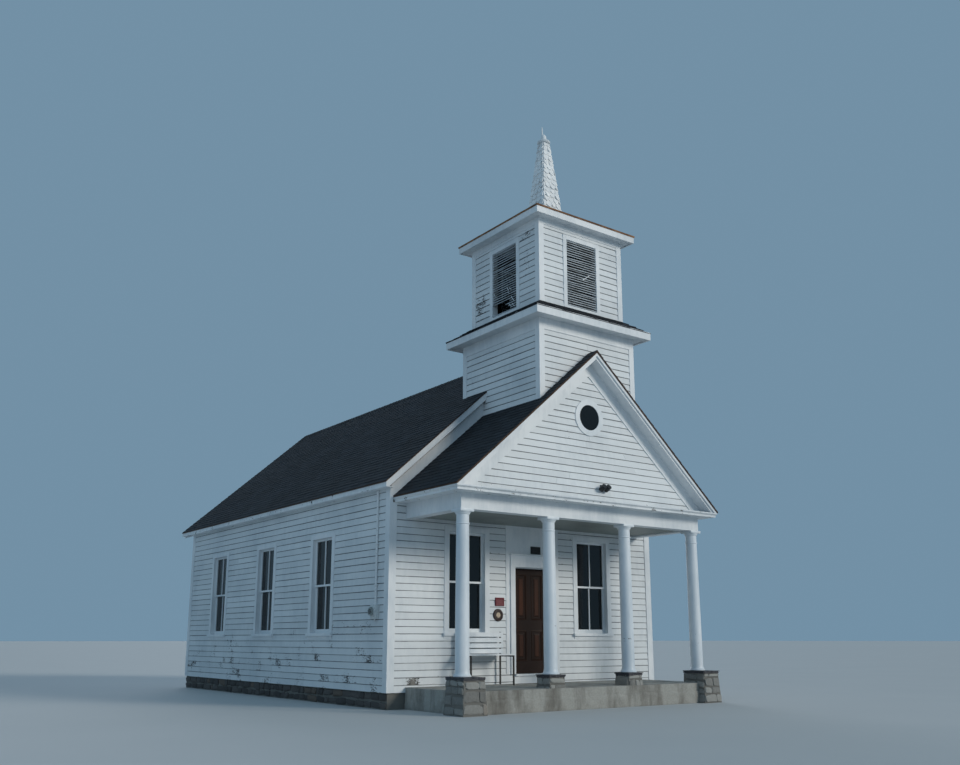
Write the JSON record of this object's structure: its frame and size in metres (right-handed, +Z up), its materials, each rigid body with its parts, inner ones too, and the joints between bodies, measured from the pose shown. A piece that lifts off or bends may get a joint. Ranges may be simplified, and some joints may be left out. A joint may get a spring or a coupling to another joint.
{
  "type": "small chapel",
  "caption": "Small white clapboard chapel with a columned front porch, a louvred belfry and a short spire; its front door swings inward.",
  "frame": {"origin": "on the ground plane, under the middle of the whole building", "axes": "+Z up; the front with the porch and door faces -Y; +X to the right of someone facing the front"},
  "size_m": [7.064, 12.819, 12.191],
  "materials": {
    "fieldstone": "mortared fieldstone, rough",
    "slate": "riven slate, matte",
    "concrete": "weathered concrete, matte",
    "floor_boards": "worn boards, satin",
    "white_siding": "painted clapboard, weathered matte",
    "white_trim": "painted boards, weathered satin",
    "column_paint": "painted turned wood, satin",
    "shingle": "mineral-faced roof shingles, matte",
    "door_wood": "dark stained wood, satin",
    "door_metal": "tarnished brass",
    "glass": "old window glass, clear",
    "louvre_wood": "bare weathered slats, matte",
    "spire_paint": "painted cut shingles, peeling",
    "meter_metal": "grey painted metal",
    "lamp_metal": "dark painted metal",
    "bench_paint": "painted slats, satin",
    "bench_iron": "black painted iron"
  },
  "bodies": {
    "building": {"foundation": "fieldstone", "floor_boards": "floor_boards", "floor_joists": "floor_boards", "left_wall": "white_siding", "right_wall": "white_siding", "rear_wall": "white_siding", "front_wall_left": "white_siding", "front_wall_right": "white_siding", "front_wall_over_door": "white_siding", "front_gable": "white_siding", "corner_boards": "white_trim", "main_roof_left": "shingle", "main_roof_right": "shingle", "main_eaves": "white_trim", "gable_rakes": "white_trim", "gable_friezes": "white_trim", "window_frames": "white_trim", "window_sashes": "white_trim", "window_glass": "glass", "door_hinges": "door_metal", "door_frame": "white_trim", "door_step": "white_trim", "porch_slab": "concrete", "porch_piers": "fieldstone", "pier_caps": "slate", "porch_columns": "column_paint", "porch_beam": "white_trim", "porch_ceiling": "white_trim", "porch_roof": "shingle", "pediment_wall": "white_siding", "pediment_cornice": "white_trim", "pediment_rakes": "white_trim", "round_window": "white_trim", "pediment_light": "lamp_metal", "electric_meter": "meter_metal", "bench_slats": "bench_paint", "bench_frame": "bench_iron", "tower_end_walls": "white_siding", "tower_side_walls": "white_siding", "tower_cornice": "white_trim", "skirt_roof": "shingle", "belfry_end_walls": "white_siding", "belfry_side_walls": "white_siding", "belfry_louvres": "louvre_wood", "louvre_casings": "white_trim", "tower_friezes": "white_trim", "belfry_cornice": "white_trim", "belfry_roof": "shingle", "spire": "spire_paint", "finial": "spire_paint"},
    "door": {"front_door": "door_wood", "door_hardware": "door_metal"}
  },
  "joints": [
    {"name": "door_hinge", "type": "hinge", "parent": "building", "child": "door", "pos_m": [-0.461, -4.1635, 1.6], "axis": [0, 0, 1], "range_deg": [0, 95]}
  ]
}
